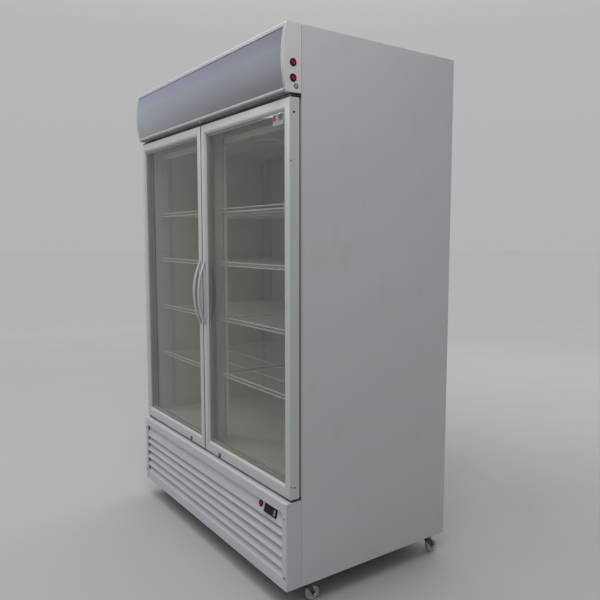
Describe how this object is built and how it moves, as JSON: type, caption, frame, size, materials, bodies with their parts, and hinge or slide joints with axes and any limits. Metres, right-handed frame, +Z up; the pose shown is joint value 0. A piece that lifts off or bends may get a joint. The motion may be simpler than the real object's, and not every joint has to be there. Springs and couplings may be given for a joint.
{
  "type": "glass door merchandiser",
  "caption": "Upright double-door display refrigerator with glass doors, lit header, wire shelves, louvred base grille and swivel casters.",
  "frame": {"origin": "on the floor under the middle of the object, between the wheels", "axes": "+Z up, the doors face -Y, +X to the right seen from the front"},
  "size_m": [1.2722, 0.79, 1.947],
  "materials": {
    "white_shell": "smooth white powder coat",
    "liner": "pale grey-green coated sheet",
    "door_white": "satin greenish white",
    "header_trim": "satin light grey",
    "lens": "glossy translucent, blue-violet at the top to grey",
    "lamp": "translucent white tube",
    "door_glass": "grey-green tinted insulating glass",
    "gasket_rubber": "dark magnetic seal",
    "wire_white": "white plastic-coated wire",
    "zinc_steel": "zinc-plated",
    "bright_metal": "bright plated",
    "red_button": "dark translucent red",
    "black_plastic": "satin black",
    "black_enamel": "gloss black enamel",
    "finned_aluminium": "bare fins",
    "caster_plastic": "greenish beige nylon"
  },
  "bodies": {
    "cabinet": {"left_side_panel": "white_shell", "right_side_panel": "white_shell", "top_panel": "white_shell", "back_panel": "white_shell", "liner_left_wall": "liner", "liner_right_wall": "liner", "liner_ceiling": "liner", "liner_floor": "liner", "liner_back_wall": "liner", "face_frame": "liner", "base_frame": "zinc_steel", "rear_cover": "white_shell", "header_housing": "white_shell", "header_lens": "lens", "header_bottom_trim": "header_trim", "header_end_cap_left": "white_shell", "header_end_cap_right": "white_shell", "header_lamp": "lamp", "header_cap_screw": "bright_metal", "grille_panel": "white_shell", "temperature_controller": "black_plastic", "left_top_hinge": "zinc_steel", "left_bottom_hinge": "zinc_steel", "right_top_hinge": "zinc_steel", "right_bottom_hinge": "zinc_steel", "left_shelf_1": "wire_white", "left_shelf_2": "wire_white", "left_shelf_3": "wire_white", "left_shelf_4": "wire_white", "right_shelf_1": "wire_white", "right_shelf_2": "wire_white", "right_shelf_3": "wire_white", "right_shelf_4": "wire_white", "evaporator_cover": "liner", "evaporator_coil": "finned_aluminium", "condenser": "finned_aluminium", "compressor": "black_enamel"},
    "left_door": {"left_door_frame": "door_white", "left_door_glass": "door_glass", "left_door_gasket": "gasket_rubber", "left_door_handle": "door_white"},
    "left_lock": {"left_door_lock": "bright_metal"},
    "right_door": {"right_door_frame": "door_white", "right_door_glass": "door_glass", "right_door_gasket": "gasket_rubber", "right_door_handle": "door_white"},
    "right_lock": {"right_door_lock": "bright_metal"},
    "header_light_rocker": {"header_light_rocker": "red_button"},
    "header_fan_rocker": {"header_fan_rocker": "red_button"},
    "power_rocker": {"power_rocker": "red_button"},
    "evaporator_fan": {"evaporator_fan": "black_plastic"},
    "condenser_fan": {"condenser_fan": "black_plastic"},
    "swivel_front_left": {"caster_fork_front_left": "zinc_steel"},
    "wheel_front_left": {"caster_wheel_front_left": "caster_plastic"},
    "swivel_front_right": {"caster_fork_front_right": "zinc_steel"},
    "wheel_front_right": {"caster_wheel_front_right": "caster_plastic"},
    "swivel_rear_left": {"caster_fork_rear_left": "zinc_steel"},
    "wheel_rear_left": {"caster_wheel_rear_left": "caster_plastic"},
    "swivel_rear_right": {"caster_fork_rear_right": "zinc_steel"},
    "wheel_rear_right": {"caster_wheel_rear_right": "caster_plastic"}
  },
  "joints": [
    {"name": "left_door_hinge", "type": "hinge", "parent": "cabinet", "child": "left_door", "pos_m": [-0.616, -0.341, 1.061], "axis": [0, 0, -1], "range_deg": [0, 100], "stiffness_Nm_per_rad": 2.5, "springref_deg": -20.05},
    {"name": "left_lock_turn", "type": "hinge", "parent": "left_door", "child": "left_lock", "pos_m": [-0.131, -0.36, 0.413], "axis": [0, 1, 0], "range_deg": [0, 90]},
    {"name": "right_door_hinge", "type": "hinge", "parent": "cabinet", "child": "right_door", "pos_m": [0.616, -0.341, 1.061], "axis": [0, 0, 1], "range_deg": [0, 100], "stiffness_Nm_per_rad": 2.5, "springref_deg": -20.05},
    {"name": "right_lock_turn", "type": "hinge", "parent": "right_door", "child": "right_lock", "pos_m": [0.131, -0.36, 0.413], "axis": [0, 1, 0], "range_deg": [0, 90]},
    {"name": "header_light_switch", "type": "hinge", "parent": "cabinet", "child": "header_light_rocker", "pos_m": [0.634, -0.347, 1.825], "axis": [0, 1, 0], "range_deg": [0, 20]},
    {"name": "header_fan_switch", "type": "hinge", "parent": "cabinet", "child": "header_fan_rocker", "pos_m": [0.634, -0.347, 1.778], "axis": [0, 1, 0], "range_deg": [0, 20]},
    {"name": "power_switch", "type": "hinge", "parent": "cabinet", "child": "power_rocker", "pos_m": [0.46, -0.369, 0.335], "axis": [1, 0, 0], "range_deg": [0, 20]},
    {"name": "evaporator_fan_spin", "type": "hinge", "parent": "cabinet", "child": "evaporator_fan", "pos_m": [0, 0.016, 1.735], "axis": [0, 0, 1], "continuous": true},
    {"name": "condenser_fan_spin", "type": "hinge", "parent": "cabinet", "child": "condenser_fan", "pos_m": [0.25, -0.164, 0.244], "axis": [0, 1, 0], "continuous": true},
    {"name": "swivel_front_left_turn", "type": "hinge", "parent": "cabinet", "child": "swivel_front_left", "pos_m": [-0.598, -0.266, 0.08], "axis": [0, 0, 1], "continuous": true},
    {"name": "wheel_front_left_spin", "type": "hinge", "parent": "swivel_front_left", "child": "wheel_front_left", "pos_m": [-0.598, -0.244, 0.025], "axis": [1, 0, 0], "continuous": true},
    {"name": "swivel_front_right_turn", "type": "hinge", "parent": "cabinet", "child": "swivel_front_right", "pos_m": [0.598, -0.266, 0.08], "axis": [0, 0, 1], "continuous": true},
    {"name": "wheel_front_right_spin", "type": "hinge", "parent": "swivel_front_right", "child": "wheel_front_right", "pos_m": [0.598, -0.244, 0.025], "axis": [1, 0, 0], "continuous": true},
    {"name": "swivel_rear_left_turn", "type": "hinge", "parent": "cabinet", "child": "swivel_rear_left", "pos_m": [-0.598, 0.336, 0.08], "axis": [0, 0, 1], "continuous": true},
    {"name": "wheel_rear_left_spin", "type": "hinge", "parent": "swivel_rear_left", "child": "wheel_rear_left", "pos_m": [-0.598, 0.358, 0.025], "axis": [1, 0, 0], "continuous": true},
    {"name": "swivel_rear_right_turn", "type": "hinge", "parent": "cabinet", "child": "swivel_rear_right", "pos_m": [0.598, 0.336, 0.08], "axis": [0, 0, 1], "continuous": true},
    {"name": "wheel_rear_right_spin", "type": "hinge", "parent": "swivel_rear_right", "child": "wheel_rear_right", "pos_m": [0.598, 0.358, 0.025], "axis": [1, 0, 0], "continuous": true}
  ]
}
